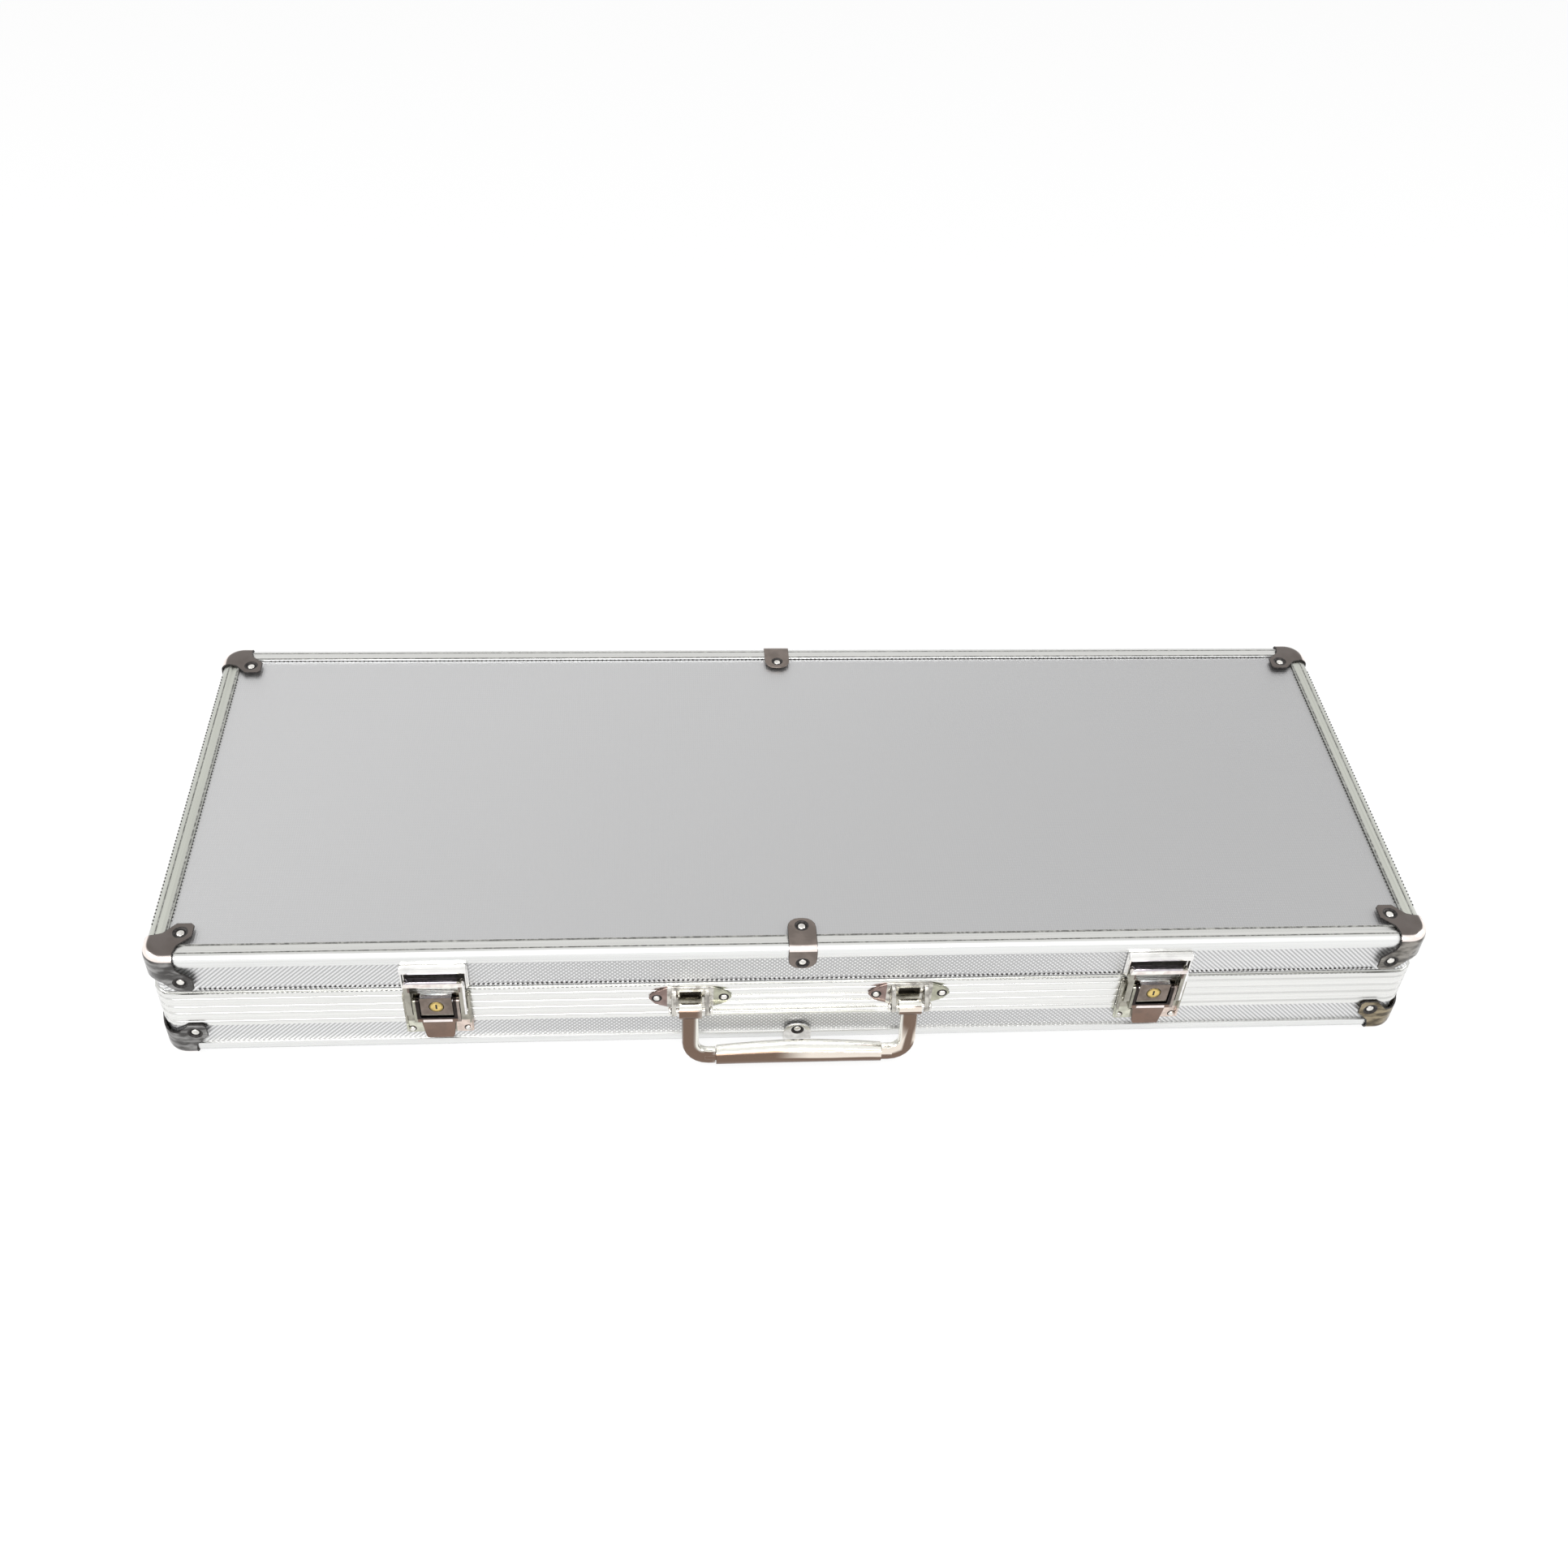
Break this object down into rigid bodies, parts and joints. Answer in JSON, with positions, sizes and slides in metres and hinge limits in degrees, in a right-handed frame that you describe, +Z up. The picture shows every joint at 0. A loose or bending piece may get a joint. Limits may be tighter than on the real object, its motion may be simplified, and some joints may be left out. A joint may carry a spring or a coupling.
{
  "type": "poker chip case",
  "caption": "Shallow aluminium case for poker chips: hinged lid, pressed corner plates, keyed draw latches, fold-down carrying handle and moulded trays for chips, cards and dice.",
  "frame": {"origin": "on the table under the middle of the whole outline, handle and hinges included", "axes": "+X along the case's length to the right, +Y from the handle side to the hinge side, +Z up"},
  "size_m": [0.56, 0.229, 0.064],
  "materials": {
    "foiled_board": "fibreboard faced with silver aluminium foil, embossed with fine diagonals on the walls",
    "aluminium_extrusion": "satin anodised extrusion",
    "chrome_hardware": "bright nickel-chrome plating on pressed steel",
    "hinge_steel": "plated steel",
    "brass_lock": "turned brass",
    "flocked_tray": "black flocked moulding",
    "foam_pad": "black foam with a short nap"
  },
  "bodies": {
    "base": {"base_clip_back": "chrome_hardware", "base_clip_front": "chrome_hardware", "base_corner_plate_back_left": "chrome_hardware", "base_corner_plate_back_right": "chrome_hardware", "base_corner_plate_front_left": "chrome_hardware", "base_corner_plate_front_right": "chrome_hardware", "base_hinge_leaf_left": "hinge_steel", "base_hinge_leaf_right": "hinge_steel", "base_rim_frame": "aluminium_extrusion", "base_wall_back": "foiled_board", "base_wall_front": "foiled_board", "base_wall_left": "foiled_board", "base_wall_right": "foiled_board", "bottom_panel": "foiled_board", "bottom_profile_back": "aluminium_extrusion", "bottom_profile_front": "aluminium_extrusion", "bottom_profile_left": "aluminium_extrusion", "bottom_profile_right": "aluminium_extrusion", "card_tray": "flocked_tray", "chip_tray_left": "flocked_tray", "chip_tray_right": "flocked_tray", "handle_bracket_left": "chrome_hardware", "handle_bracket_right": "chrome_hardware", "handle_pin_left": "chrome_hardware", "handle_pin_right": "chrome_hardware", "hinge_pin_left": "hinge_steel", "hinge_pin_right": "hinge_steel", "latch_base_left": "chrome_hardware", "latch_base_right": "chrome_hardware"},
    "lid": {"latch_keeper_left": "chrome_hardware", "latch_keeper_right": "chrome_hardware", "lid_clip_back": "chrome_hardware", "lid_clip_front": "chrome_hardware", "lid_corner_plate_back_left": "chrome_hardware", "lid_corner_plate_back_right": "chrome_hardware", "lid_corner_plate_front_left": "chrome_hardware", "lid_corner_plate_front_right": "chrome_hardware", "lid_foam_pad": "foam_pad", "lid_hinge_leaf_left": "hinge_steel", "lid_hinge_leaf_right": "hinge_steel", "lid_rim_frame": "aluminium_extrusion", "lid_top_panel": "foiled_board", "lid_wall_back": "foiled_board", "lid_wall_front": "foiled_board", "lid_wall_left": "foiled_board", "lid_wall_right": "foiled_board", "top_profile_back": "aluminium_extrusion", "top_profile_front": "aluminium_extrusion", "top_profile_left": "aluminium_extrusion", "top_profile_right": "aluminium_extrusion"},
    "handle": {"handle_arm_left": "chrome_hardware", "handle_arm_right": "chrome_hardware", "handle_grip": "chrome_hardware"},
    "lever_left": {"latch_lever_left": "chrome_hardware"},
    "claw_left": {"latch_claw_left": "chrome_hardware"},
    "barrel_left": {"lock_barrel_left": "brass_lock"},
    "lever_right": {"latch_lever_right": "chrome_hardware"},
    "claw_right": {"latch_claw_right": "chrome_hardware"},
    "barrel_right": {"lock_barrel_right": "brass_lock"}
  },
  "joints": [
    {"name": "lid_hinge", "type": "hinge", "parent": "base", "child": "lid", "pos_m": [0, 0.1117, 0.04], "axis": [-1, 0, 0], "range_deg": [0, 95]},
    {"name": "handle_swing", "type": "hinge", "parent": "base", "child": "handle", "pos_m": [0, -0.1052, 0.03], "axis": [-1, 0, 0], "range_deg": [-6, 100]},
    {"name": "latch_left", "type": "hinge", "parent": "base", "child": "lever_left", "pos_m": [-0.1585, -0.1024, 0.0366], "axis": [-1, 0, 0], "range_deg": [0, 120]},
    {"name": "claw_left_swing", "type": "hinge", "parent": "lever_left", "child": "claw_left", "pos_m": [-0.1585, -0.1024, 0.0296], "axis": [-1, 0, 0], "range_deg": [-115, 0]},
    {"name": "lock_left_turn", "type": "hinge", "parent": "base", "child": "barrel_left", "pos_m": [-0.1585, -0.1034, 0.0338], "axis": [0, 1, 0], "range_deg": [0, 90]},
    {"name": "latch_right", "type": "hinge", "parent": "base", "child": "lever_right", "pos_m": [0.1585, -0.1024, 0.0366], "axis": [-1, 0, 0], "range_deg": [0, 120]},
    {"name": "claw_right_swing", "type": "hinge", "parent": "lever_right", "child": "claw_right", "pos_m": [0.1585, -0.1024, 0.0296], "axis": [-1, 0, 0], "range_deg": [-115, 0]},
    {"name": "lock_right_turn", "type": "hinge", "parent": "base", "child": "barrel_right", "pos_m": [0.1585, -0.1034, 0.0338], "axis": [0, 1, 0], "range_deg": [0, 90]}
  ],
  "couplings": [
    {"joint": "claw_left_swing", "follows": "latch_left", "ratio": -0.95},
    {"joint": "claw_right_swing", "follows": "latch_right", "ratio": -0.95}
  ]
}
